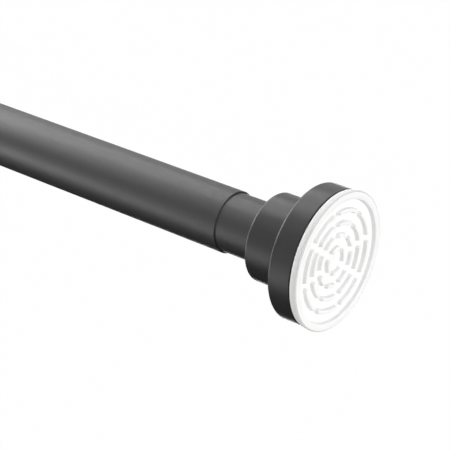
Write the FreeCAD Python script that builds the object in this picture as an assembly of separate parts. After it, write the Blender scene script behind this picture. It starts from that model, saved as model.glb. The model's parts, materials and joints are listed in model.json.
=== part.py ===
import FreeCAD, Part
import math
import os

# Telescopic spring tension rod for a shower curtain.
# Millimetres. The rod lies along +X, +Z is up, and the origin is the centre of the wall face
# of the larger tube's pad. The thinner tube's pad faces +X at the other end.

Vec = FreeCAD.Vector
AXIS = Vec(1, 0, 0)

# Whole rod, at its shortest locked setting
overall_length = 1050.0
exposed_inner_tube = 18.5        # thinner tube between the larger tube's mouth and its cap

# Tubes
outer_tube_r = 12.7
inner_tube_r = 12.0
tube_wall = 0.6
mouth_chamfer = 0.15

# Wall pad
pad_r = 27.6
pad_back_r = 27.3
pad_depth = 3.4                  # what stands out of the cap
pad_edge_round = 0.6
pad_spigot_r = 24.5
pad_spigot_depth = 2.5
pad_pocket_r = 5.5               # room for the head of the cap's screw
pad_pocket_depth = 1.7
pad_rim_inner_r = 24.1           # inside of the plain outer rim
dish_depth = 1.0                 # how far the middle ribs lie behind the rim
rib_height = 1.6
rib_width = 2.05
rib_gap = 2.0
rib_root = 0.4                   # how far the ribs are sunk in the pad's floor
rib_ring_r = [5.05, 10.1, 14.95, 19.9]
first_gap_angle = 4.3            # degrees from +Y towards +Z, seen on the thinner tube's pad
gaps_in_ring = [4, 8, 8, 8]
inner_ring_turn = 45.0           # the innermost ring's gaps lie between the others

# End cap
flange_r = 27.15
flange_length = 9.8
flange_wall = 2.5
collar_r = 17.9
collar_length = 17.7
collar_wall = 2.0
cap_edge_round = 1.0
cap_front_round = 0.3
cap_wall = 2.2                   # across the two steps
cap_rib_thickness = 1.4
cap_rib_count = 8
cap_web = 2.5                    # floor of the tube socket
pad_to_web = 1.5                 # between the pad's back and that floor
socket_wall = 2.0
socket_clearance = 0.05
rib_bite = 0.3                   # how far stiffening ribs run into the walls round them

# Cap screw and tube plug
screw_r = 2.1
screw_head_r = 4.0
screw_head_height = 2.5
screw_crown_r = 2.8
screw_crown_height = 0.8
screw_length = 19.0
screw_tip = 3.0
screw_point_r = 0.3
recess_length = 4.0
recess_width = 0.9
recess_depth = 1.2
screw_hole_r = 2.3
plug_hole_r = 1.75
plug_length = 22.0
plug_boss_r = 4.6
plug_skin = 1.6
plug_face = 3.0
plug_rib_count = 6

# Twist lock, along X from the hidden end
sleeve_start = 90.0
sleeve_length = 32.0
sleeve_end_wall = 4.0
sleeve_clearance = 0.07
sleeve_bore_r = 8.5
sleeve_taper_length = 14.0
sleeve_edge = 0.5
taper_slope = 1.0 / 8.0          # radius per length, in the sleeve and on the cone
slot_width = 2.4
slot_length = 24.0
slot_count = 4
first_groove = 3.0
grip_groove_count = 6
grip_groove_width = 1.2
grip_groove_pitch = 2.4
grip_groove_depth = 0.35
cone_length = 14.0
cone_travel = 3.0                # three quarters of a turn of the 4 mm thread
cone_clearance = 0.03            # left between cone and sleeve when locked
cone_key_width = 2.2
cone_key_length = 12.0
cone_key_root_r = 7.5
cone_key_r = 11.6
spindle_r = 4.0
thread_r = 3.95
thread_chamfer = 0.4
thread_runout = 3.0              # plain stretch between the thread and the clip
running_clearance = 0.05
end_play = 0.1
collar_stop_r = 7.5
collar_stop_length = 3.0
hexagon_across_flats = 8.0
hexagon_core_r = 3.5
clip_thickness = 1.0
clip_r = 6.5
clip_groove_r = 3.2
clip_opening = 5.6
washer_r = 8.0
washer_thickness = 1.5
washer_clearance = 0.1
stop_screw_r = 2.0
stop_screw_head_r = 3.5
stop_screw_head_height = 2.2
stop_screw_length = 12.0
stop_screw_chamfer = 0.8
driver_slot_width = 0.9
driver_slot_depth = 0.9
tapped_hole_r = 1.7
tapped_hole_depth = 13.0

# Spring side
inner_tube_start = 160.0
bush_flange = 3.0
bush_length = 20.0
bush_clearance = 0.06
bush_floor = 3.0
bush_skin = 2.0
bush_hub_r = 6.6
bush_edge = 0.5
seat_length = 8.0
seat_clearance = 0.1
seat_pilot_length = 2.0          # shoulder that centres the spring
seat_pilot_clearance = 0.3
seat_pilot_taper = 0.5
seat_pin_r = 1.5
seat_pin_length = 20.0
seat_pin_chamfer = 0.3
spring_length = 62.0             # as fitted, with the rod not yet pressed in
spring_mean_r = 8.5
spring_wire_r = 1.0
spring_turns = 11
spring_end_gap = 0.05
spring_stop_length = 14.0
spring_stop_bore_r = 4.6
spring_stop_floor = 3.0
spring_stop_skin = 2.0
spindle_nose = 51.8              # how far the spindle reaches past its seat into the spring
nose_chamfer = 1.0

past = 1.0                       # how far a cutting shape runs past the face it cuts

# Worked out from the above
outer_bore_r = outer_tube_r - tube_wall
inner_bore_r = inner_tube_r - tube_wall
pad_total_depth = pad_depth + pad_spigot_depth
socket_floor = pad_total_depth + pad_to_web + cap_web
cap_length = pad_depth + flange_length + collar_length
mouth_x = overall_length - cap_length - exposed_inner_tube
dish_sphere_r = (pad_rim_inner_r ** 2 + dish_depth ** 2) / (2 * dish_depth)
sleeve_end = sleeve_start + sleeve_length
sleeve_wall_x = sleeve_end - sleeve_end_wall
spindle_tail_x = sleeve_start - cone_travel - end_play
clip_x = sleeve_wall_x - end_play - clip_thickness
hexagon_x = sleeve_end + end_play + collar_stop_length
seat_x = inner_tube_start + bush_length + end_play
spring_x = seat_x + seat_length - seat_pilot_length
spring_stop_x = spring_x + spring_length


def turned(profile):
    """Solid of revolution about the X axis from (x, radius) points."""
    points = [Vec(x, r, 0) for x, r in profile]
    face = Part.Face(Part.makePolygon(points + points[:1]))
    return face.revolve(Vec(0, 0, 0), AXIS, 360)


def rod(x, length, r):
    """Cylinder along X."""
    return Part.makeCylinder(r, length, Vec(x, 0, 0), AXIS)


def tube(x, length, r, bore_r):
    """Hollow cylinder along X."""
    return turned([(x, bore_r), (x, r), (x + length, r), (x + length, bore_r)])


def upright_rod(x, length, r):
    """Cylinder along Z that crosses the X axis at its middle."""
    return Part.makeCylinder(r, length, Vec(x, 0, -length / 2), Vec(0, 0, 1))


def circle_edges(shape, x, r):
    """Circular edges round the X axis at the given place and radius."""
    found = []
    for edge in shape.Edges:
        curve = edge.Curve
        if isinstance(curve, Part.Circle):
            if abs(curve.Center.x - x) < 1e-4 and abs(curve.Radius - r) < 1e-4:
                found.append(edge)
    return found


def rounded(shape, x, r, radius):
    return shape.makeFillet(radius, circle_edges(shape, x, r))


def chamfered(shape, x, r, size):
    return shape.makeChamfer(size, circle_edges(shape, x, r))


def turned_copies(shape, count):
    """Copies of a shape spaced evenly round the X axis."""
    copies = []
    for index in range(count):
        copy = shape.copy()
        copy.rotate(Vec(0, 0, 0), AXIS, index * 360.0 / count)
        copies.append(copy)
    return copies


def bar(x, length, low_r, high_r, width):
    """Flat bar lying along X, standing out along +Y between two radii."""
    return Part.makeBox(length, high_r - low_r, width, Vec(x, low_r, -width / 2))


def hexagon_bar(x, length, across_flats):
    corner_r = across_flats / math.sqrt(3)
    corners = []
    for index in range(6):
        angle = math.radians(60 * index)
        corners.append(Vec(x, corner_r * math.cos(angle), corner_r * math.sin(angle)))
    return Part.Face(Part.makePolygon(corners + corners[:1])).extrude(Vec(length, 0, 0))


def polar(r, degrees):
    angle = math.radians(degrees)
    return Vec(0, r * math.cos(angle), r * math.sin(angle))


# The end pieces are modelled with their wall face at x = 0, facing +X, and then moved.

def rib_outline(ring_r, start, end):
    """Face of one curved grip rib with round ends, in the plane x = 0."""
    low = ring_r - rib_width / 2
    high = ring_r + rib_width / 2
    end_angle = math.degrees(rib_width / 2 / ring_r)
    first, last = start + end_angle, end - end_angle
    middle = (first + last) / 2
    edges = [
        Part.Arc(polar(high, first), polar(high, middle), polar(high, last)),
        Part.Arc(polar(high, last), polar(ring_r, end), polar(low, last)),
        Part.Arc(polar(low, last), polar(low, middle), polar(low, first)),
        Part.Arc(polar(low, first), polar(ring_r, start), polar(high, first)),
    ]
    return Part.Face(Part.Wire([edge.toShape() for edge in edges]))


def dish_ball(depth_at_rim):
    """Ball whose surface is the dished contact face, set back by the given depth."""
    centre = Vec(dish_sphere_r - dish_depth - depth_at_rim, 0, 0)
    return Part.makeSphere(dish_sphere_r, centre)


def grip_ribs():
    """Rings of curved ribs whose tops follow the dished contact face."""
    tops = dish_ball(0)
    root = -(dish_depth + rib_height + rib_root)
    ribs = []
    for ring_r, gap_count in zip(rib_ring_r, gaps_in_ring):
        half_gap = math.degrees(rib_gap / 2 / ring_r)
        step = 360.0 / gap_count
        first_gap = first_gap_angle
        if ring_r == rib_ring_r[0]:
            first_gap += inner_ring_turn
        for index in range(gap_count):
            start = first_gap + index * step + half_gap
            end = first_gap + (index + 1) * step - half_gap
            rib = rib_outline(ring_r, start, end).extrude(Vec(root, 0, 0))
            ribs.append(rib.cut(tops))
    return ribs


def wall_pad():
    """Soft pad with a plain rim, a dished and ribbed field, and a spigot that sits in the cap."""
    pocket_x = -(pad_total_depth - pad_pocket_depth)
    body = turned([
        (0, 0), (0, pad_r), (-pad_depth, pad_back_r), (-pad_depth, pad_spigot_r),
        (-pad_total_depth, pad_spigot_r), (-pad_total_depth, pad_pocket_r),
        (pocket_x, pad_pocket_r), (pocket_x, 0),
    ])
    body = rounded(body, 0, pad_r, pad_edge_round)
    well = rod(-pad_depth, pad_depth + past, pad_rim_inner_r).common(dish_ball(rib_height))
    return body.cut(well).fuse(grip_ribs()).removeSplitter()


def end_cap(tube_r):
    """Stepped cap, hollow behind the pad, with a socket for the tube and radial ribs."""
    bore_r = tube_r + socket_clearance
    boss_r = bore_r + socket_wall
    web_x = -(socket_floor - cap_web)
    flange_x = -(pad_depth + flange_length)
    rear_x = -cap_length
    skin_r = flange_r - flange_wall
    core_r = collar_r - collar_wall
    body = turned([
        (-pad_depth, flange_r), (flange_x, flange_r), (flange_x, collar_r), (rear_x, collar_r),
        (rear_x, bore_r), (-socket_floor, bore_r), (-socket_floor, screw_hole_r),
        (web_x, screw_hole_r), (web_x, boss_r), (rear_x + cap_wall, boss_r),
        (rear_x + cap_wall, core_r), (flange_x + cap_wall, core_r),
        (flange_x + cap_wall, skin_r), (-pad_depth, skin_r),
    ])
    body = rounded(body, flange_x, flange_r, cap_edge_round)
    body = rounded(body, rear_x, collar_r, cap_edge_round)
    body = rounded(body, -pad_depth, flange_r, cap_front_round)
    flange_floor = flange_x + cap_wall - rib_bite
    collar_floor = rear_x + cap_wall - rib_bite
    low_r = boss_r - rib_bite
    outline = [
        (-pad_total_depth, low_r), (-pad_total_depth, skin_r + rib_bite),
        (flange_floor, skin_r + rib_bite), (flange_floor, core_r + rib_bite),
        (collar_floor, core_r + rib_bite), (collar_floor, low_r),
    ]
    corners = [Vec(x, r, -cap_rib_thickness / 2) for x, r in outline]
    rib = Part.Face(Part.makePolygon(corners + corners[:1])).extrude(Vec(0, 0, cap_rib_thickness))
    return body.fuse(turned_copies(rib, cap_rib_count)).removeSplitter()


def tube_plug(bore_r):
    """Ribbed plug pressed into a tube's end, with a pilot hole for the cap's screw."""
    start = -socket_floor - plug_length
    face = rod(-socket_floor - plug_face, plug_face, bore_r)
    skin = tube(start, plug_length, bore_r, bore_r - plug_skin)
    boss = rod(start, plug_length, plug_boss_r)
    rib = bar(start, plug_length, plug_boss_r - rib_bite, bore_r - plug_skin + rib_bite, plug_skin)
    plug = face.fuse([skin, boss] + turned_copies(rib, plug_rib_count)).removeSplitter()
    return plug.cut(rod(start - past, plug_length + 2 * past, plug_hole_r))


def cap_screw():
    """Screw with a crowned head and a cross recess."""
    under_head = -(socket_floor - cap_web)
    top = under_head + screw_head_height
    end = under_head - screw_length
    screw = turned([
        (top, 0), (top, screw_crown_r), (top - screw_crown_height, screw_head_r),
        (under_head, screw_head_r), (under_head, screw_r), (end + screw_tip, screw_r),
        (end, screw_point_r), (end, 0),
    ])
    arm = bar(top - recess_depth, recess_depth + past, 0, recess_length / 2, recess_width)
    return screw.cut(turned_copies(arm, 4))


def at_far_end(shape):
    moved = shape.copy()
    moved.translate(Vec(overall_length, 0, 0))
    return moved


def at_origin_end(shape):
    moved = shape.copy()
    moved.rotate(Vec(0, 0, 0), Vec(0, 0, 1), 180)
    return moved


# Tubes

def outer_tube():
    shape = tube(socket_floor, mouth_x - socket_floor, outer_tube_r, outer_bore_r)
    shape = chamfered(shape, mouth_x, outer_tube_r, mouth_chamfer)
    return chamfered(shape, mouth_x, outer_bore_r, mouth_chamfer)


def inner_tube():
    end = overall_length - socket_floor
    return tube(inner_tube_start, end - inner_tube_start, inner_tube_r, inner_bore_r)


# Twist lock

def lock_sleeve():
    """Split sleeve with a tapered mouth and grip grooves, closed at the spindle's collar."""
    grip_r = outer_bore_r - sleeve_clearance
    hole_r = spindle_r + running_clearance
    taper_end = sleeve_start + sleeve_taper_length
    mouth_r = sleeve_bore_r + sleeve_taper_length * taper_slope
    sleeve = turned([
        (sleeve_start, mouth_r), (sleeve_start, grip_r), (sleeve_end, grip_r),
        (sleeve_end, hole_r), (sleeve_wall_x, hole_r), (sleeve_wall_x, sleeve_bore_r),
        (taper_end, sleeve_bore_r),
    ])
    sleeve = chamfered(sleeve, sleeve_start, grip_r, sleeve_edge)
    sleeve = chamfered(sleeve, sleeve_end, grip_r, sleeve_edge)
    slot = bar(sleeve_start - past, slot_length + past, spindle_r, outer_bore_r + past, slot_width)
    sleeve = sleeve.cut(turned_copies(slot, slot_count))
    grooves = []
    for index in range(grip_groove_count):
        x = sleeve_start + first_groove + index * grip_groove_pitch
        grooves.append(tube(x, grip_groove_width, grip_r + past, grip_r - grip_groove_depth))
    return sleeve.cut(grooves)


def lock_cone():
    """Cone on the spindle's thread, with keys that slide in the sleeve's slots."""
    start = sleeve_start - cone_travel
    end = start + cone_length
    bore_r = thread_r + running_clearance
    nose_r = sleeve_bore_r - cone_clearance
    back_r = nose_r + cone_length * taper_slope
    cone = turned([(start, bore_r), (start, back_r), (end, nose_r), (end, bore_r)])
    key = bar(start, cone_key_length, cone_key_root_r, cone_key_r, cone_key_width)
    return cone.fuse(turned_copies(key, slot_count)).removeSplitter()


def spindle():
    """Steel rod: thread, clip groove, collar, hexagon for the bush, and a round nose."""
    groove_end = clip_x + clip_thickness
    collar_x = hexagon_x - collar_stop_length
    nose_x = seat_x + seat_length + spindle_nose
    shaft = turned([
        (spindle_tail_x, 0), (spindle_tail_x, thread_r - thread_chamfer),
        (spindle_tail_x + thread_chamfer, thread_r), (clip_x - thread_runout, thread_r),
        (clip_x - thread_runout, spindle_r), (clip_x, spindle_r), (clip_x, clip_groove_r),
        (groove_end, clip_groove_r), (groove_end, spindle_r), (collar_x, spindle_r),
        (collar_x, collar_stop_r), (hexagon_x, collar_stop_r), (hexagon_x, hexagon_core_r),
        (seat_x, hexagon_core_r), (seat_x, spindle_r), (nose_x - nose_chamfer, spindle_r),
        (nose_x, spindle_r - nose_chamfer), (nose_x, 0),
    ])
    shaft = shaft.fuse(hexagon_bar(hexagon_x, seat_x - hexagon_x, hexagon_across_flats))
    cross_hole = upright_rod(seat_x + seat_length / 2, seat_pin_length, seat_pin_r)
    tapped_hole = rod(spindle_tail_x - past, tapped_hole_depth + past, tapped_hole_r)
    return shaft.cut([cross_hole, tapped_hole])


def sleeve_clip():
    """Open ring clip in the spindle's groove."""
    ring = tube(clip_x, clip_thickness, clip_r, clip_groove_r)
    opening = bar(clip_x - past, clip_thickness + 2 * past, 0, clip_r + past, clip_opening)
    return ring.cut(opening)


def cone_stop_washer():
    start = spindle_tail_x - washer_thickness
    return tube(start, washer_thickness, washer_r, stop_screw_r + washer_clearance)


def cone_stop_screw():
    """Slotted screw in the spindle's end that holds the washer."""
    seat = spindle_tail_x - washer_thickness
    top = seat - stop_screw_head_height
    end = seat + stop_screw_length
    screw = turned([
        (top, 0), (top, stop_screw_head_r - stop_screw_chamfer),
        (top + stop_screw_chamfer, stop_screw_head_r), (seat, stop_screw_head_r),
        (seat, stop_screw_r), (end - stop_screw_chamfer, stop_screw_r),
        (end, stop_screw_r - stop_screw_chamfer), (end, 0),
    ])
    reach = stop_screw_head_r + past
    slot = bar(top - past, driver_slot_depth + past, -reach, reach, driver_slot_width)
    return screw.cut(slot)


# Spring side

def guide_bush():
    """Bush in the thinner tube's hidden end, with a hexagon hole that slides on the spindle."""
    flange_x = inner_tube_start - bush_flange
    flange_r = outer_bore_r - bush_clearance
    end = inner_tube_start + bush_length
    bush = turned([
        (flange_x, 0), (flange_x, flange_r), (inner_tube_start, flange_r),
        (inner_tube_start, inner_bore_r), (end, inner_bore_r), (end, 0),
    ])
    bush = chamfered(bush, flange_x, flange_r, bush_edge)
    hole_flats = hexagon_across_flats + 2 * running_clearance
    hole = hexagon_bar(flange_x - past, end - flange_x + 2 * past, hole_flats)
    pocket_r = inner_bore_r - bush_skin
    pocket = tube(inner_tube_start + bush_floor, bush_length, pocket_r, bush_hub_r)
    return bush.cut([hole, pocket])


def spring_seat():
    """Piston pinned to the spindle, with a pilot inside the spring."""
    seat_r = inner_bore_r - seat_clearance
    end = seat_x + seat_length
    pilot_r = spring_mean_r - spring_wire_r - seat_pilot_clearance
    seat = turned([
        (seat_x, spindle_r), (seat_x, seat_r), (spring_x, seat_r), (spring_x, pilot_r),
        (end, pilot_r - seat_pilot_taper), (end, spindle_r),
    ])
    return seat.cut(upright_rod(seat_x + seat_length / 2, 2 * inner_tube_r, seat_pin_r))


def seat_pin():
    pin = upright_rod(seat_x + seat_length / 2, seat_pin_length, seat_pin_r)
    ends = [edge for edge in pin.Edges if isinstance(edge.Curve, Part.Circle)]
    return pin.makeChamfer(seat_pin_chamfer, ends)


def compression_spring():
    """Round wire wound on a helix between the seat and the stop."""
    first_turn_x = spring_x + spring_wire_r + spring_end_gap
    run = spring_length - 2 * (spring_wire_r + spring_end_gap)
    helix = Part.makeHelix(run / spring_turns, run, spring_mean_r)
    section = Part.Wire(Part.makeCircle(spring_wire_r, Vec(spring_mean_r, 0, 0), Vec(0, 1, 0)))
    wire = Part.Wire(helix.Edges).makePipeShell([section], True, True)
    wire.rotate(Vec(0, 0, 0), Vec(0, 1, 0), 90)
    wire.translate(Vec(first_turn_x, 0, 0))
    return wire


def spring_stop():
    """Ring fixed in the thinner tube that the spring pushes on."""
    stop = tube(spring_stop_x, spring_stop_length, inner_bore_r, spring_stop_bore_r)
    pocket_r = inner_bore_r - spring_stop_skin
    hub_r = spring_stop_bore_r + spring_stop_skin
    pocket = tube(spring_stop_x + spring_stop_floor, spring_stop_length, pocket_r, hub_r)
    return stop.cut(pocket)


def build():
    """Every sub-part by its node's name."""
    pad = wall_pad()
    screw = cap_screw()
    return {
        "outer_tube": outer_tube(),
        "outer_end_cap": at_origin_end(end_cap(outer_tube_r)),
        "outer_wall_pad": at_origin_end(pad),
        "outer_tube_plug": at_origin_end(tube_plug(outer_bore_r)),
        "outer_cap_screw": at_origin_end(screw),
        "inner_tube": inner_tube(),
        "inner_end_cap": at_far_end(end_cap(inner_tube_r)),
        "inner_wall_pad": at_far_end(pad),
        "inner_tube_plug": at_far_end(tube_plug(inner_bore_r)),
        "inner_cap_screw": at_far_end(screw),
        "guide_bush": guide_bush(),
        "spring_stop": spring_stop(),
        "compression_spring": compression_spring(),
        "spindle": spindle(),
        "spring_seat": spring_seat(),
        "seat_pin": seat_pin(),
        "lock_sleeve": lock_sleeve(),
        "lock_cone": lock_cone(),
        "sleeve_clip": sleeve_clip(),
        "cone_stop_washer": cone_stop_washer(),
        "cone_stop_screw": cone_stop_screw(),
    }


os.makedirs("parts", exist_ok=True)
for node, shape in build().items():
    shape.exportStep("parts/" + node + ".step")
    print(node, "valid" if shape.isValid() else "NOT VALID", len(shape.Solids), round(shape.Volume, 1))
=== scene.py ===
import bpy
import json
import math
import numpy as np
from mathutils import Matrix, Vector


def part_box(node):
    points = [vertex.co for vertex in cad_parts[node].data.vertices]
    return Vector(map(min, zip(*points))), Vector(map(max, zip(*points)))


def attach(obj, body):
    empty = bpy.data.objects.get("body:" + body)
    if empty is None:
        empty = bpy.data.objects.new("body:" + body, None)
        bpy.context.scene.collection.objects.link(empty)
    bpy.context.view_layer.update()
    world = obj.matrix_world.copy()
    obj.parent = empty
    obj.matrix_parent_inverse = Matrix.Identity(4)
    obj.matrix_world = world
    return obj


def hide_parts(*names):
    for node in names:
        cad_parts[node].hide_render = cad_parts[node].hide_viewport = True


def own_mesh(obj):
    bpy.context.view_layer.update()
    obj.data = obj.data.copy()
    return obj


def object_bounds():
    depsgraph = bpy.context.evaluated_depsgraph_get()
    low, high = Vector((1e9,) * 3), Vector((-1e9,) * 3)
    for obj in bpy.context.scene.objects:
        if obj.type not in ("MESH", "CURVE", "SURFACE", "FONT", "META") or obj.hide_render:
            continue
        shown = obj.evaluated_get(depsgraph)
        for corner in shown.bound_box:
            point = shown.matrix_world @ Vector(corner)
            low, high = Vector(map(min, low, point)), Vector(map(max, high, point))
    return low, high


# Spring tension rod for a shower curtain. Metres throughout. The rod lies along X, the thinner
# tube's pad faces +X, and the larger tube's pad faces -X with its wall face at x = 0.

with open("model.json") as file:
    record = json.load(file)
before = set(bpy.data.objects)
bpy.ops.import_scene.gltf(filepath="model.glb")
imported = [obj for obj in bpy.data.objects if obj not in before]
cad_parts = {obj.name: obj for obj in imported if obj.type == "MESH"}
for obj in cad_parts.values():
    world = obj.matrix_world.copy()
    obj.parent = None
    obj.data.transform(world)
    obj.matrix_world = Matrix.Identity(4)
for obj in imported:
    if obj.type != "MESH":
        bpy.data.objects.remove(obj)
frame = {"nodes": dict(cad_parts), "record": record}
cad_low, cad_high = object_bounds()

MM = 0.001

# Camera, from the photograph: beyond the thinner tube's end, in front of the rod and above it
PHOTO_PIXELS = 450
FOCAL_PIXELS = 1505
SENSOR_WIDTH = 36.0
CAMERA_AZIMUTH = math.radians(38.42)
CAMERA_ELEVATION = math.radians(28.62)
PAD_DISTANCE = 556.70 * MM
PAD_RIGHT_OF_CENTRE = 42.27 * MM
PAD_BELOW_CENTRE = 13.71 * MM
CLIP_START = 50 * MM

# Wall pad, as the solid has it
PAD_RADIUS = 27.6 * MM
PAD_BACK_RADIUS = 27.3 * MM
PAD_DEPTH = 3.4 * MM
PAD_EDGE_ROUND = 0.6 * MM
PAD_NECK_RADIUS = 26.3 * MM
PAD_NECK_DEPTH = 0.6 * MM
SPIGOT_RADIUS = 24.5 * MM
SPIGOT_DEPTH = 2.5 * MM
RIM_INNER_RADIUS = 24.1 * MM
DISH_DEPTH = 1.0 * MM
RIB_HEIGHT = 1.6 * MM
RIB_WIDTH = 2.05 * MM
RIB_GAP = 2.0 * MM
RIB_RINGS = (5.05 * MM, 10.1 * MM, 14.95 * MM, 19.9 * MM)
GAPS_IN_RING = (4, 8, 8, 8)
FIRST_GAP_ANGLE = math.radians(4.3)
SECTOR = math.radians(45.0)
POCKET_RADIUS = 5.5 * MM
POCKET_FLOOR = 4.2 * MM

# How finely the pad is divided. The angles run from the middle of a gap to half-way to the next
# one and are scaled to fit, and the radii are given from the middle and from a rib's wall.
ANGLE_STEPS = (0.43,) * 16 + (1.0,) * 7 + (1.7,) * 5
CENTRE_RADII = (0.8 * MM, 1.6 * MM, 2.4 * MM, 3.1 * MM)
WALL_OFFSETS = np.array([-0.22, -0.14, -0.06, 0.02, 0.10, 0.18, 0.26, 0.34, 0.42]) * MM
SHARES_BETWEEN_RINGS = (0.0, 0.36, 0.5, 0.64)
RIM_RINGS_INSIDE_EDGE = (1.9 * MM, 1.2 * MM)
EDGE_STEPS = 6
SIDE_RING_SHARE = 0.6

# Coil spring, as the solid has it, but with its end turns closed
SPRING_WIRE_RADIUS = 1.0 * MM
SPRING_MEAN_RADIUS = 8.5 * MM
SPRING_TURNS = 11
SPRING_CLOSED_TURNS = 1.0
SPRING_CLOSED_PITCH = 2.03 * MM
SPRING_BLEND_TURNS = 0.5
SPRING_STEPS_IN_TURN = 40
SPRING_WIRE_SIDES = 14

# Soft edges of the moulded ribs: where a wall starts outside the rib and ends on its top
WALL_FOOT = -0.12 * MM
WALL_TOP = 0.40 * MM

# Faces that meet at less than this angle are shaded as one smooth skin
SMOOTH_BELOW = math.radians(50)

# Colours, and how squarely a face looks along the rod where a painted light or painted shade starts
# and where it is full
BLACK = (0.025, 0.025, 0.025)
# Paler grey painted on the tubes' end faces, as painted light
END_FACE_PAINTED_LIGHT = (0.15, 0.15, 0.15)
END_FACE_PAINTED_LIGHT_FACING = (0.5, 0.9)
PAD_WHITE = (0.9, 0.9, 0.895)
# Grey painted on the front of the pad's outer edge, as painted shade, and where it starts and is full
PAD_EDGE_PAINTED_SHADE = (0.55, 0.55, 0.55)
PAD_EDGE_SHADE_FACING = (0.76, 0.86)
PAD_EDGE_SHADE_FULL = 0.4 * MM
FLOOR_PALE = (0.9, 0.9, 0.9)
CARD_BLACK = (0.03, 0.03, 0.03)

# Studio. A softbox is given by its name, how far its direction leans towards +X, the angle of its
# direction round the rod from +Y towards +Z, its width, its power in watts and, where the end can
# slide close to it, a greater distance.
FLOOR_DROP = 2000 * MM
CARD_DROP = 1900 * MM
FLOOR_SIZE = 28.0
LAMP_DISTANCE = 1.2
LIT_POINT = 70 * MM
FLOOR_WHITE_SHARE = 0.996
SHOWN_END_SOFTBOXES = (
    ("high_back", -0.55, 50, 0.4, 2.9),
    ("top_back", -0.55, 80, 0.4, 3.8),
    ("level_front", -0.55, 200, 0.4, 1.75),
    ("low_front", -0.55, 215, 0.4, 1.05),
    ("far_high", -0.85, 50, 0.4, 1.9),
    ("far_top", -0.85, 80, 0.4, 5.2),
    ("far_front", -0.85, 110, 0.4, 5.0),
    ("far_low", -0.85, 205, 0.4, 5.3),
    ("side_high", 0.45, 70, 0.7, 2.2),
    ("side", 0.45, 170, 0.7, 2.1),
    ("level_side", 0.0, 205, 0.6, 2.0),
    ("end", 1.0, 0, 1.75, 78.0, 3.0),
    ("end_high", 0.8, 40, 1.75, 15.0, 3.0),
    ("behind", -0.4, 325, 0.8, 7.0),
)
OTHER_END_SOFTBOXES = (
    ("other_behind", 0.4, 325, 0.8, 7.0),
    ("other_end", -1.0, 0, 0.7, 9.3),
)
GRAZING_SOFTBOXES = ("far_high", "far_top", "far_front", "far_low")


def add_object(name, data):
    """New object of the scene."""
    added = bpy.data.objects.new(name, data)
    bpy.context.scene.collection.objects.link(added)
    return added


def new_camera():
    """Camera at the photograph's place, with the pad's centre where it is in the photograph."""
    data = bpy.data.cameras.new("camera")
    data.sensor_width = SENSOR_WIDTH
    data.lens = FOCAL_PIXELS / PHOTO_PIXELS * SENSOR_WIDTH
    data.clip_start = CLIP_START
    camera = add_object("camera", data)
    back = Vector((
        math.sin(CAMERA_AZIMUTH) * math.cos(CAMERA_ELEVATION),
        -math.cos(CAMERA_AZIMUTH) * math.cos(CAMERA_ELEVATION),
        math.sin(CAMERA_ELEVATION),
    ))
    right = Vector((0, 0, 1)).cross(back).normalized()
    up = back.cross(right)
    pad_centre = Vector((cad_high.x, 0, 0))
    camera.location = (
        pad_centre + back * PAD_DISTANCE - right * PAD_RIGHT_OF_CENTRE + up * PAD_BELOW_CENTRE
    )
    camera.rotation_mode = "QUATERNION"
    camera.rotation_quaternion = (-back).to_track_quat("-Z", "Y")
    bpy.context.scene.camera = camera


new_camera()
bpy.context.scene.view_settings.view_transform = "Standard"


# Materials

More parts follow.
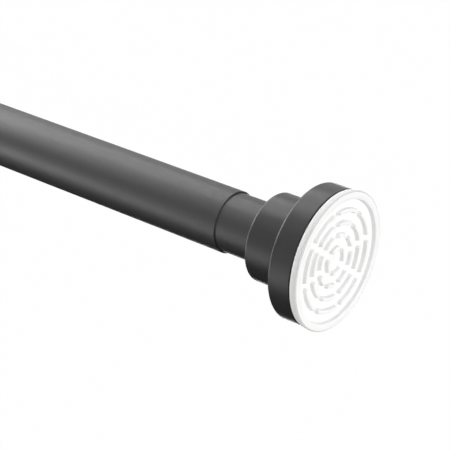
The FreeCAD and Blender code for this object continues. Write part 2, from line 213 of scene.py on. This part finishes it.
class Paint:
    """A node material round one Principled shader."""

    def __init__(self, name, colour, roughness, metallic=0.0, specular=0.5):
        self.material = bpy.data.materials.new(name)
        self.material.use_nodes = True
        self.nodes = self.material.node_tree.nodes
        self.links = self.material.node_tree.links
        self.shader = self.nodes["Principled BSDF"]
        self.colour = colour
        self.roughness = roughness
        self.shader.inputs["Base Color"].default_value = (*colour, 1)
        self.shader.inputs["Roughness"].default_value = roughness
        self.shader.inputs["Metallic"].default_value = metallic
        self.shader.inputs["Specular IOR Level"].default_value = specular
        coordinates = self.nodes.new("ShaderNodeTexCoord")
        self.place = coordinates.outputs["Object"]
        self.facing = coordinates.outputs["Normal"]
        self.bumps = []

    def noise(self, scale, detail=3.0, stretch=(1, 1, 1)):
        """Noise in the object's own coordinates, with features about 1 / scale metres wide."""
        mapping = self.nodes.new("ShaderNodeMapping")
        mapping.inputs["Scale"].default_value = stretch
        texture = self.nodes.new("ShaderNodeTexNoise")
        texture.inputs["Scale"].default_value = scale
        texture.inputs["Detail"].default_value = detail
        self.links.new(self.place, mapping.inputs["Vector"])
        self.links.new(mapping.outputs["Vector"], texture.inputs["Vector"])
        return texture.outputs["Fac"]

    def spread(self, value, low, high):
        """Stretches a noise value round one half to run from low to high."""
        ranged = self.nodes.new("ShaderNodeMapRange")
        ranged.inputs["From Min"].default_value = 0.3
        ranged.inputs["From Max"].default_value = 0.7
        ranged.inputs["To Min"].default_value = low
        ranged.inputs["To Max"].default_value = high
        self.links.new(value, ranged.inputs["Value"])
        return ranged.outputs["Result"]

    def vary_colour(self, value, amount):
        """Lightens and darkens the base colour by a share of itself."""
        mix = self.nodes.new("ShaderNodeMix")
        mix.data_type = "RGBA"
        mix.inputs["A"].default_value = (*[c * (1 - amount) for c in self.colour], 1)
        mix.inputs["B"].default_value = (*[c * (1 + amount) for c in self.colour], 1)
        self.links.new(self.spread(value, 0.0, 1.0), mix.inputs["Factor"])
        self.links.new(mix.outputs["Result"], self.shader.inputs["Base Color"])
        return mix.outputs["Result"]

    def ramp(self, value, low, high):
        """0 below one value, 1 above the other and even between them."""
        share = self.nodes.new("ShaderNodeMapRange")
        share.inputs["From Min"].default_value = low
        share.inputs["From Max"].default_value = high
        self.links.new(value, share.inputs["Value"])
        return share.outputs["Result"]

    def product(self, first, second):
        """One value times another."""
        node = self.nodes.new("ShaderNodeMath")
        node.operation = "MULTIPLY"
        self.links.new(first, node.inputs[0])
        self.links.new(second, node.inputs[1])
        return node.outputs["Value"]

    def faces_along_rod(self):
        """1 where a face looks along the rod, either way, and 0 where it looks sideways."""
        split = self.nodes.new("ShaderNodeSeparateXYZ")
        along = self.nodes.new("ShaderNodeMath")
        along.operation = "ABSOLUTE"
        self.links.new(self.facing, split.inputs["Vector"])
        self.links.new(split.outputs["X"], along.inputs[0])
        return along.outputs["Value"]

    def from_axis(self):
        """Distance from the rod's axis in metres."""
        across = self.nodes.new("ShaderNodeVectorMath")
        across.operation = "MULTIPLY"
        across.inputs[1].default_value = (0, 1, 1)
        length = self.nodes.new("ShaderNodeVectorMath")
        length.operation = "LENGTH"
        self.links.new(self.place, across.inputs[0])
        self.links.new(across.outputs["Vector"], length.inputs[0])
        return length.outputs["Value"]

    def tint(self, varied, share, colour):
        """Another base colour where the share is 1."""
        mix = self.nodes.new("ShaderNodeMix")
        mix.data_type = "RGBA"
        mix.inputs["B"].default_value = (*colour, 1)
        self.links.new(share, mix.inputs["Factor"])
        self.links.new(varied, mix.inputs["A"])
        self.links.new(mix.outputs["Result"], self.shader.inputs["Base Color"])

    def vary_roughness(self, value, amount):
        """Adds and takes away up to an amount of roughness."""
        varied = self.spread(value, self.roughness - amount, self.roughness + amount)
        self.links.new(varied, self.shader.inputs["Roughness"])

    def bump(self, value, height, strength=1.0):
        """Adds relief of the given height in metres on top of earlier relief."""
        node = self.nodes.new("ShaderNodeBump")
        node.inputs["Strength"].default_value = strength
        node.inputs["Distance"].default_value = height
        self.links.new(value, node.inputs["Height"])
        if self.bumps:
            self.links.new(self.bumps[-1].outputs["Normal"], node.inputs["Normal"])
        self.links.new(node.outputs["Normal"], self.shader.inputs["Normal"])
        self.bumps.append(node)


def powder_coat():
    """Matt black powder coat on steel: a fine orange peel with a finer grain on it, and a paler
    grey painted on faces that look along the rod, as painted light on the cut ends."""
    paint = Paint("powder_coat", BLACK, 0.45, specular=0.38)
    varied = paint.vary_colour(paint.noise(900, 4), 0.08)
    # Faces that look along the rod, the tubes' cut ends, get a paler grey as painted light
    painted_end_light = paint.ramp(paint.faces_along_rod(), *END_FACE_PAINTED_LIGHT_FACING)
    paint.tint(varied, painted_end_light, END_FACE_PAINTED_LIGHT)
    paint.vary_roughness(paint.noise(260, 2), 0.03)
    paint.bump(paint.noise(700, 2), 0.02 * MM, 0.5)
    paint.bump(paint.noise(5200, 2), 0.006 * MM, 0.5)
    return paint.material


def moulded_black():
    """Black moulded plastic with a fine spark-eroded grain."""
    paint = Paint("moulded_black", BLACK, 0.38, specular=0.31)
    paint.vary_colour(paint.noise(1400, 4), 0.07)
    paint.vary_roughness(paint.noise(420, 2), 0.03)
    paint.bump(paint.noise(3600, 3), 0.01 * MM, 0.5)
    return paint.material


def soft_white():
    """White soft pad material with a very fine mould grain, and grey painted on the front of its outer
    edge as painted shade.
    """
    paint = Paint("soft_white", PAD_WHITE, 0.7, specular=0.3)
    varied = paint.vary_colour(paint.noise(500, 3), 0.01)
    # Grey painted on the front of the outer edge, as painted shade
    shade_start, shade_full = PAD_RADIUS - PAD_EDGE_ROUND, PAD_RADIUS - PAD_EDGE_SHADE_FULL
    shade_at_edge = paint.ramp(paint.from_axis(), shade_start, shade_full)
    shade_on_front = paint.ramp(paint.faces_along_rod(), *PAD_EDGE_SHADE_FACING)
    paint.tint(varied, paint.product(shade_at_edge, shade_on_front), PAD_EDGE_PAINTED_SHADE)
    paint.vary_roughness(paint.noise(800, 2), 0.05)
    paint.bump(paint.noise(2600, 3), 0.01 * MM, 0.4)
    return paint.material


def moulded_grey():
    """Plain grey moulded plastic."""
    paint = Paint("moulded_grey", (0.33, 0.34, 0.35), 0.5)
    paint.vary_colour(paint.noise(700, 4), 0.05)
    paint.vary_roughness(paint.noise(300, 2), 0.05)
    paint.bump(paint.noise(3000, 2), 0.012 * MM, 0.5)
    return paint.material


def natural_acetal():
    """Slightly creamy white plastic, a little glossy."""
    paint = Paint("natural_acetal", (0.82, 0.82, 0.78), 0.38)
    paint.vary_colour(paint.noise(350, 3), 0.02)
    paint.vary_roughness(paint.noise(250, 2), 0.05)
    paint.bump(paint.noise(1800, 2), 0.008 * MM, 0.5)
    return paint.material


def plated_steel():
    """Zinc-plated steel with faint drawing marks along the rod."""
    paint = Paint("plated_steel", (0.62, 0.63, 0.65), 0.32, metallic=1.0)
    marks = paint.noise(2500, 3, stretch=(0.04, 1, 1))
    paint.vary_colour(paint.noise(160, 4), 0.08)
    paint.vary_roughness(marks, 0.07)
    paint.bump(marks, 0.004 * MM, 0.5)
    return paint.material


MATERIAL_OF_SLOT = {
    "black_tube": powder_coat(),
    "black_cap": moulded_black(),
    "white_pad": soft_white(),
    "grey_plastic": moulded_grey(),
    "white_plastic": natural_acetal(),
    "plain_steel": plated_steel(),
}


def paint_frame():
    """Gives each solid its slot's material."""
    for subpart in frame["record"]["subparts"]:
        node = frame["nodes"][subpart["node"]]
        node.data.materials.clear()
        node.data.materials.append(MATERIAL_OF_SLOT[subpart["material_slot"]])


def smooth_skin(mesh, material):
    """Shades a mesh as a smooth skin with sharp edges, in one material."""
    mesh.polygons.foreach_set("use_smooth", [True] * len(mesh.polygons))
    mesh.set_sharp_from_angle(angle=SMOOTH_BELOW)
    mesh.materials.append(material)


# Wall pads

def pad_angles():
    """Angles round the pad, closest together at the gaps between the ribs."""
    half = np.cumsum((0.0, *ANGLE_STEPS))
    half *= math.degrees(SECTOR) / 2 / half[-1]
    sector = np.concatenate([-half[:0:-1], half[:-1]])
    whole = [sector + index * math.degrees(SECTOR) for index in range(8)]
    return np.radians(np.concatenate(whole)) + FIRST_GAP_ANGLE


def pad_radii():
    """Radii over the ribbed field, closest together at the ribs' walls."""
    walls = []
    for ring in RIB_RINGS:
        walls.append((ring - RIB_WIDTH / 2, 1))
        walls.append((ring + RIB_WIDTH / 2, -1))
    walls.append((RIM_INNER_RADIUS, 1))
    radii = list(CENTRE_RADII)
    for wall, side in walls:
        radii += list(wall + side * WALL_OFFSETS)
    for ring, next_ring in zip(RIB_RINGS, (*RIB_RINGS[1:], RIM_INNER_RADIUS + RIB_WIDTH / 2)):
        radii += [ring + (next_ring - ring) * share for share in SHARES_BETWEEN_RINGS]
    return np.array(sorted(radii))


def soft_step(inside):
    """0 outside a raised shape and 1 on its top, with a rounded foot and shoulder."""
    share = np.clip((inside - WALL_FOOT) / (WALL_TOP - WALL_FOOT), 0, 1)
    return share * share * (3 - 2 * share)


def inside_ring(r, angle, ring, gap_count):
    """How far a point lies inside the nearest rib of a ring, and negative outside it."""
    step = 2 * math.pi / gap_count
    first_gap = FIRST_GAP_ANGLE + (SECTOR if gap_count == 4 else 0.0)
    end = (RIB_GAP / 2 + RIB_WIDTH / 2) / ring
    along = np.mod(angle - first_gap, step)
    past_end = np.maximum(end - along, along - (step - end))
    to_line = np.abs(r - ring)
    to_end = np.sqrt(r ** 2 + ring ** 2 - 2 * r * ring * np.cos(past_end))
    return RIB_WIDTH / 2 - np.where(past_end > 0, to_end, to_line)


def pad_face(r, angle):
    """Height of the contact face over the wall plane, 0 at the rim and negative behind it."""
    dish = DISH_DEPTH * ((r / RIM_INNER_RADIUS) ** 2 - 1)
    raised = soft_step(r - RIM_INNER_RADIUS)
    for ring, gap_count in zip(RIB_RINGS, GAPS_IN_RING):
        raised = np.maximum(raised, soft_step(inside_ring(r, angle, ring, gap_count)))
    top = np.where(r > RIM_INNER_RADIUS, 0.0, dish)
    return top - RIB_HEIGHT * (1 - raised)


def pad_skin_rings():
    """(height, radius) of the plain rings from the rim's flat over its edge to the back's middle."""
    rings = [(0.0, PAD_RADIUS - inside) for inside in RIM_RINGS_INSIDE_EDGE]
    for step in range(EDGE_STEPS + 1):
        turn = math.radians(90 * step / EDGE_STEPS)
        rings.append((
            -PAD_EDGE_ROUND * (1 - math.cos(turn)),
            PAD_RADIUS - PAD_EDGE_ROUND * (1 - math.sin(turn)),
        ))
    back = PAD_DEPTH + SPIGOT_DEPTH
    rings += [
        (-PAD_DEPTH * SIDE_RING_SHARE, (PAD_RADIUS + PAD_BACK_RADIUS) / 2),
        (PAD_NECK_DEPTH - PAD_DEPTH, PAD_BACK_RADIUS),
        (PAD_NECK_DEPTH - PAD_DEPTH, PAD_NECK_RADIUS),
        (-PAD_DEPTH, PAD_NECK_RADIUS),
        (-PAD_DEPTH, SPIGOT_RADIUS),
        (-back, SPIGOT_RADIUS),
        (-back, POCKET_RADIUS),
        (-POCKET_FLOOR, POCKET_RADIUS),
    ]
    return rings


def pad_mesh():
    """Closed mesh of a pad whose wall face is at x = 0 and faces +X."""
    angles, radii = pad_angles(), pad_radii()
    count = len(angles)
    grid_r, grid_angle = np.meshgrid(radii, angles, indexing="ij")
    heights = pad_face(grid_r, grid_angle)
    rows = [(heights[index], radius) for index, radius in enumerate(radii)]
    rows += [(np.full(count, height), radius) for height, radius in pad_skin_rings()]
    points = [(-DISH_DEPTH - RIB_HEIGHT, 0.0, 0.0)]
    for height, radius in rows:
        points += zip(height, radius * np.cos(angles), radius * np.sin(angles))
    points.append((-POCKET_FLOOR, 0.0, 0.0))
    last = len(points) - 1
    faces = []
    for index in range(count):
        after = (index + 1) % count
        faces.append((0, 1 + index, 1 + after))
        for row in range(len(rows) - 1):
            near, far = 1 + row * count, 1 + (row + 1) * count
            faces.append((near + index, far + index, far + after, near + after))
        edge = 1 + (len(rows) - 1) * count
        faces.append((edge + index, last, edge + after))
    mesh = bpy.data.meshes.new("wall_pad")
    mesh.from_pydata([tuple(map(float, point)) for point in points], [], faces)
    mesh.validate()
    return mesh


def add_pads():
    """A moulded pad with soft-edged ribs in place of each plain one."""
    for name, body, wall_x, facing in (
        ("ribbed_pad", "sliding_side", cad_high.x, 1),
        ("ribbed_pad_far_end", "fixed_side", cad_low.x, -1),
    ):
        mesh = pad_mesh()
        for vertex in mesh.vertices:
            x, y, z = vertex.co
            vertex.co = (wall_x + facing * x, facing * y, z)
        smooth_skin(mesh, MATERIAL_OF_SLOT["white_pad"])
        pad = add_object(name, mesh)
        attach(pad, body)
        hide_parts("inner_wall_pad" if body == "sliding_side" else "outer_wall_pad")


# Coil spring

def spring_line():
    """Points along the wire's middle and the angle that each is at."""
    low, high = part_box("compression_spring")
    turn = np.linspace(0, SPRING_TURNS, SPRING_TURNS * SPRING_STEPS_IN_TURN + 1)
    past_closed = np.minimum(turn, SPRING_TURNS - turn) - SPRING_CLOSED_TURNS
    share = np.clip((past_closed + SPRING_BLEND_TURNS / 2) / SPRING_BLEND_TURNS, 0, 1)
    opened = np.concatenate([[0], np.cumsum((share[1:] + share[:-1]) / 2 * np.diff(turn))])
    run = high[0] - low[0] - 2 * SPRING_WIRE_RADIUS
    more_pitch = (run - SPRING_CLOSED_PITCH * SPRING_TURNS) / opened[-1]
    along = low[0] + SPRING_WIRE_RADIUS + SPRING_CLOSED_PITCH * turn + more_pitch * opened
    angle = 2 * math.pi * turn
    across, upwards = SPRING_MEAN_RADIUS * np.cos(angle), SPRING_MEAN_RADIUS * np.sin(angle)
    return np.stack([along, across, upwards], 1), angle


def add_spring():
    """Spring with closed ends in place of the plain one."""
    line, angle = spring_line()
    tangent = np.gradient(line, axis=0)
    tangent /= np.linalg.norm(tangent, axis=1)[:, None]
    outward = np.stack([np.zeros_like(angle), np.cos(angle), np.sin(angle)], 1)
    across = np.cross(tangent, outward)
    sides = SPRING_WIRE_SIDES
    points = []
    for index in range(len(line)):
        for side in range(sides):
            round_wire = 2 * math.pi * side / sides
            offset = outward[index] * math.cos(round_wire) + across[index] * math.sin(round_wire)
            points.append(tuple(map(float, line[index] + SPRING_WIRE_RADIUS * offset)))
    faces = [tuple(range(sides))[::-1]]
    for index in range(len(line) - 1):
        near, far = index * sides, (index + 1) * sides
        for side in range(sides):
            after = (side + 1) % sides
            faces.append((near + side, near + after, far + after, far + side))
    faces.append(tuple(range(len(points) - sides, len(points))))
    mesh = bpy.data.meshes.new("coil_spring")
    mesh.from_pydata(points, [], faces)
    mesh.validate()
    smooth_skin(mesh, MATERIAL_OF_SLOT["plain_steel"])
    spring = add_object("coil_spring", mesh)
    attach(spring, "sliding_side")
    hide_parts("compression_spring")
    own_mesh(spring)


# Studio

def softbox(lit_x, name, lean, turn, width, power, distance=LAMP_DISTANCE):
    """Square lamp that shines on one end of the rod and isn't seen itself."""
    side = math.sqrt(1 - lean ** 2)
    angle = math.radians(turn)
    towards = Vector((lean, side * math.cos(angle), side * math.sin(angle)))
    data = bpy.data.lights.new(name, "AREA")
    data.size = width
    data.energy = power
    lamp = add_object(name, data)
    lamp.location = Vector((lit_x, 0, 0)) + towards * distance
    lamp.rotation_mode = "QUATERNION"
    lamp.rotation_quaternion = towards.to_track_quat("Z", "Y")
    lamp.visible_camera = False


def soften_mouth():
    """Takes the larger tube out of the grazing lamps' shadows, because its mouth would darken the
    thinner tube beside it more than the photograph shows."""
    left_out = bpy.data.collections.new("casts_no_shadow")
    left_out.objects.link(frame["nodes"]["outer_tube"])
    left_out.collection_objects[0].light_linking.link_state = "EXCLUDE"
    for name in GRAZING_SOFTBOXES:
        bpy.data.objects[name].light_linking.blocker_collection = left_out


def larger(nodes, links, first, second):
    """The larger of two values in a node tree."""
    node = nodes.new("ShaderNodeMath")
    node.operation = "MAXIMUM"
    links.new(first, node.inputs[0])
    links.new(second, node.inputs[1])
    return node.outputs["Value"]


def seen_ray(nodes, links):
    """1 for a ray of the camera, a reflection or a clear material, and 0 for others."""
    path = nodes.new("ShaderNodeLightPath")
    glossy, clear = path.outputs["Is Glossy Ray"], path.outputs["Is Transmission Ray"]
    return larger(nodes, links, path.outputs["Is Camera Ray"], larger(nodes, links, glossy, clear))


def white_world():
    """White where the camera, a reflection or a clear material looks, and dark elsewhere."""
    world = bpy.data.worlds.new("studio")
    world.use_nodes = True
    nodes, links = world.node_tree.nodes, world.node_tree.links
    nodes["Background"].inputs["Color"].default_value = (1, 1, 1, 1)
    links.new(seen_ray(nodes, links), nodes["Background"].inputs["Strength"])
    bpy.context.scene.world = world


def floor_material():
    """White where the camera, a reflection or a clear material looks, and plain pale elsewhere."""
    material = bpy.data.materials.new("floor_white")
    material.use_nodes = True
    nodes, links = material.node_tree.nodes, material.node_tree.links
    pale = nodes["Principled BSDF"]
    pale.inputs["Base Color"].default_value = (*FLOOR_PALE, 1)
    pale.inputs["Roughness"].default_value = 0.9
    share = nodes.new("ShaderNodeMath")
    share.operation = "MULTIPLY"
    share.inputs[1].default_value = FLOOR_WHITE_SHARE
    links.new(seen_ray(nodes, links), share.inputs[0])
    white = nodes.new("ShaderNodeEmission")
    mix = nodes.new("ShaderNodeMixShader")
    links.new(share.outputs["Value"], mix.inputs["Fac"])
    links.new(pale.outputs["BSDF"], mix.inputs[1])
    links.new(white.outputs["Emission"], mix.inputs[2])
    links.new(mix.outputs["Shader"], nodes["Material Output"].inputs["Surface"])
    return material


def card_material():
    """Matt black card."""
    material = bpy.data.materials.new("card_black")
    material.use_nodes = True
    shader = material.node_tree.nodes["Principled BSDF"]
    shader.inputs["Base Color"].default_value = (*CARD_BLACK, 1)
    shader.inputs["Roughness"].default_value = 0.9
    shader.inputs["Specular IOR Level"].default_value = 0
    return material


def add_level_sheet(name, drop, size, material):
    """Square sheet of the studio, level and below the rod."""
    half = size / 2
    centre = (cad_low + cad_high) / 2
    corners = [(centre.x + dx * half, dy * half, cad_low.z - drop)
               for dx, dy in ((-1, -1), (1, -1), (1, 1), (-1, 1))]
    mesh = bpy.data.meshes.new(name)
    mesh.from_pydata(corners, [], [(0, 1, 2, 3)])
    mesh.materials.append(material)
    sheet = add_object(name, mesh)
    return sheet


def add_floor():
    """Floor far below the hung rod, and over it a black card that keeps the rod's underside as
    dark as in the photograph. The camera doesn't see the card and it casts no shadow."""
    add_level_sheet("floor", FLOOR_DROP, FLOOR_SIZE, floor_material())
    card = add_level_sheet("card", CARD_DROP, FLOOR_SIZE, card_material())
    card.visible_camera = False
    card.visible_shadow = False


paint_frame()
add_pads()
add_spring()
white_world()
add_floor()
for lamp_values in SHOWN_END_SOFTBOXES:
    softbox(cad_high.x - LIT_POINT, *lamp_values)
for lamp_values in OTHER_END_SOFTBOXES:
    softbox(cad_low.x + LIT_POINT, *lamp_values)
soften_mouth()
